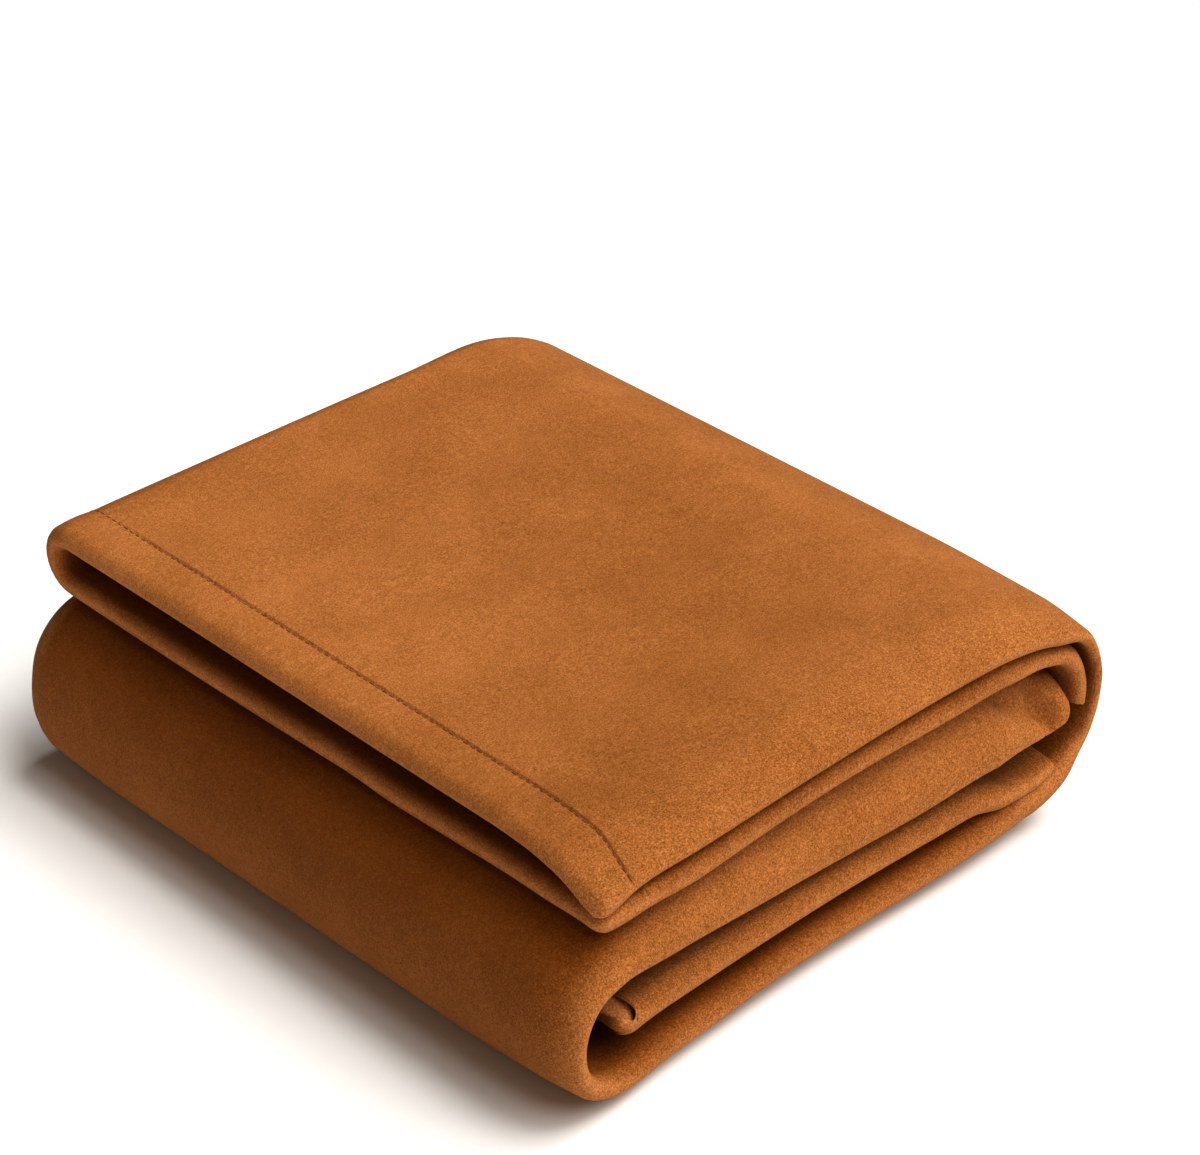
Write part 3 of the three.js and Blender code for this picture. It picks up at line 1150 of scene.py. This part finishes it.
@dataclass
class HemStitches:
    """The topstitched line that holds the hem: lockstitches lying in the seam's groove.

    Sizes are in millimetres. Each stitch varies a little in length, place and turn.
    """

    cloth: ThrowCloth
    pitch: float = 4.4
    thread: float = 0.62
    gap: float = 0.9
    sink: float = 0.05
    wander: float = 0.18
    turn: float = 0.10
    from_edges: tuple[float, float] = (2, 16)
    seed: int = 11

    def build(self, material: bpy.types.Material) -> bpy.types.Object:
        """Makes both rows of stitches, one on each face of the cloth.

        Args:
            material: The thread.

        Returns:
            The stitches as one object.
        """
        stitch = bmesh.new()
        bmesh.ops.create_uvsphere(stitch, u_segments=8, v_segments=6, radius=1.0)
        bmesh.ops.rotate(
            stitch, verts=stitch.verts, matrix=Matrix.Rotation(math.pi / 2, 3, "Y")
        )
        shape = np.array([vert.co for vert in stitch.verts])
        faces = [[vert.index for vert in face.verts] for face in stitch.faces]
        stitch.free()
        places = self._places()
        points = np.concatenate([shape @ matrix + centre for centre, matrix in places])
        count = len(shape)
        joined = [[k * count + v for v in face] for k in range(len(places)) for face in faces]
        mesh = bpy.data.meshes.new("hem_stitches")
        mesh.from_pydata(points, [], joined)
        mesh.shade_smooth()
        mesh.materials.append(material)
        return add_object("hem_stitches", mesh)

    def _places(self) -> list[tuple[np.ndarray, np.ndarray]]:
        """Finds each stitch's middle and its three half axes.

        Returns:
            The middles and the half axes, as rows along, across and up, in metres.
        """
        surfaces = self.cloth.surfaces
        row = int(np.argmin(np.abs(surfaces.along - self.cloth.hem_width)))
        draw = np.random.default_rng(self.seed)
        places = []
        for face in Face:
            line = surfaces.points[face][row]
            other = surfaces.points[Face(-face.value)][row]
            steps = np.linalg.norm(np.diff(line, axis=0), axis=1)
            lengths = np.concatenate([[0], np.cumsum(steps)]) / MM
            for k in range(int(lengths[-1] / self.pitch)):
                slack, aside, turn = draw.uniform(-1, 1, 3)
                half = (self.pitch - self.gap * (1 + 0.5 * slack)) / 2
                middle = (k + 0.5) * self.pitch
                if middle - half < self.from_edges[0] or lengths[-1] - middle < self.from_edges[1]:
                    continue
                start, centre, end = [
                    self._at(line, lengths, middle + shift) for shift in (-half, 0, half)
                ]
                up = centre - self._at(other, lengths, middle)
                up /= np.linalg.norm(up)
                along = (end - start) / np.linalg.norm(end - start)
                side = np.cross(up, along)
                up = np.cross(along, side)
                along = along + self.turn * turn * side
                centre = centre + (self.wander * aside * side - self.sink * up) * MM
                radius = self.thread / 2
                axes = np.stack([along * half, side * radius, up * radius]) * MM
                places.append((centre, axes))
        return places

    @staticmethod
    def _at(line: np.ndarray, lengths: np.ndarray, at: float) -> np.ndarray:
        """The point of a line at a length along it."""
        return np.array([np.interp(at, lengths, line[:, k]) for k in range(3)])


@dataclass
class Studio:
    """The plain pale floor, the soft lights and the camera."""

    focal_pixels: float = 3800
    sensor: float = 36
    azimuth: float = -43.45
    elevation: float = 31.58
    distance: float = 1788
    aim_height: float = 45.75
    shift_right: float = 20.5
    shift_up: float = 62.5
    floor_side: float = 12.0
    room_strength: float = 0.03
    view_gamma: float = 0.85

    def camera(self) -> None:
        """Places the camera at the photograph's viewing angle."""
        turn, tilt = math.radians(self.azimuth), math.radians(self.elevation)
        back = Vector(
            (math.sin(turn) * math.cos(tilt), -math.cos(turn) * math.cos(tilt), math.sin(tilt))
        )
        right = Vector((math.cos(turn), math.sin(turn), 0))
        up = back.cross(right)
        aim = Vector((-MIDDLE_OF_FOLDS[0], -MIDDLE_OF_FOLDS[1], self.aim_height))
        place = aim + back * self.distance + right * self.shift_right + up * self.shift_up
        data = bpy.data.cameras.new("camera")
        data.sensor_width = self.sensor
        data.lens = self.focal_pixels / IMAGE_SIZE[0] * self.sensor
        data.clip_start, data.clip_end = 0.05, 50
        camera = add_object("camera", data)
        camera.matrix_world = Matrix.Translation(place * MM) @ Matrix(
            (right, up, back)
        ).transposed().to_4x4()
        bpy.context.scene.camera = camera

    def floor(self) -> bpy.types.Object:
        """Lays the floor.

        Returns:
            The floor object.
        """
        mesh_data = bmesh.new()
        bmesh.ops.create_grid(mesh_data, x_segments=1, y_segments=1, size=self.floor_side / 2)
        mesh = bpy.data.meshes.new("floor")
        mesh_data.to_mesh(mesh)
        mesh_data.free()
        mesh.materials.append(FloorFinish().build())
        return add_object("floor", mesh)

    def light(
        self, name: str, towards: tuple[float, float, float], strength: float, spread: float,
        colour: str = "#FFFFFF",
    ) -> None:
        """Adds one wide, far softbox, which lights the whole floor evenly.

        Args:
            name: The light's name.
            towards: Direction from the throw to the light.
            strength: Its strength in watts per square metre.
            spread: The angle that it fills, in degrees.
            colour: Its colour.
        """
        data = bpy.data.lights.new(name, "SUN")
        data.color = linear(colour)[:3]
        data.energy = strength
        data.angle = math.radians(spread)
        light = add_object(name, data)
        way = Vector(towards).normalized()
        light.matrix_world = Matrix.Translation(way * 2) @ way.to_track_quat(
            "Z", "Y"
        ).to_matrix().to_4x4()

    def lights(self) -> None:
        """Adds the key from the upper right, the front and low fills and the faint room light."""
        self.light("key_softbox", (0.40, -0.20, 0.90), 3.05, 40)
        self.light("front_softbox", (0.12, -0.60, 0.78), 1.95, 44)
        self.light("low_reflector", (-0.60, -0.63, 0.50), 0.6, 60, "#FFE1C4")
        world = bpy.data.worlds.new("soft_room")
        world.use_nodes = True
        background = world.node_tree.nodes["Background"]
        background.inputs["Color"].default_value = linear("#FFFFFF")
        background.inputs["Strength"].default_value = self.room_strength
        bpy.context.scene.world = world

    def build(self) -> None:
        """Sets up the whole studio."""
        self.camera()
        self.floor()
        self.lights()
        view = bpy.context.scene.view_settings
        view.view_transform = "Standard"
        view.gamma = self.view_gamma


def main() -> None:
    """Builds the throw's pieces in order and reports each."""
    logging.basicConfig(level=logging.INFO, format="%(name)s: %(message)s")
    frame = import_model()
    log.info("frame holds %s", sorted(frame["nodes"]))
    Studio().build()

    cloth = ThrowCloth()
    sheet = cloth.build(SuedeFinish().build())
    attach(sheet, "root")
    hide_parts("throw")
    log.info("%s has %d faces", sheet.name, len(sheet.data.polygons))

    stitches = HemStitches(cloth).build(ThreadFinish().build())
    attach(stitches, "root")
    log.info("%s has %d faces", stitches.name, len(stitches.data.polygons))


if __name__ == "__main__":
    main()
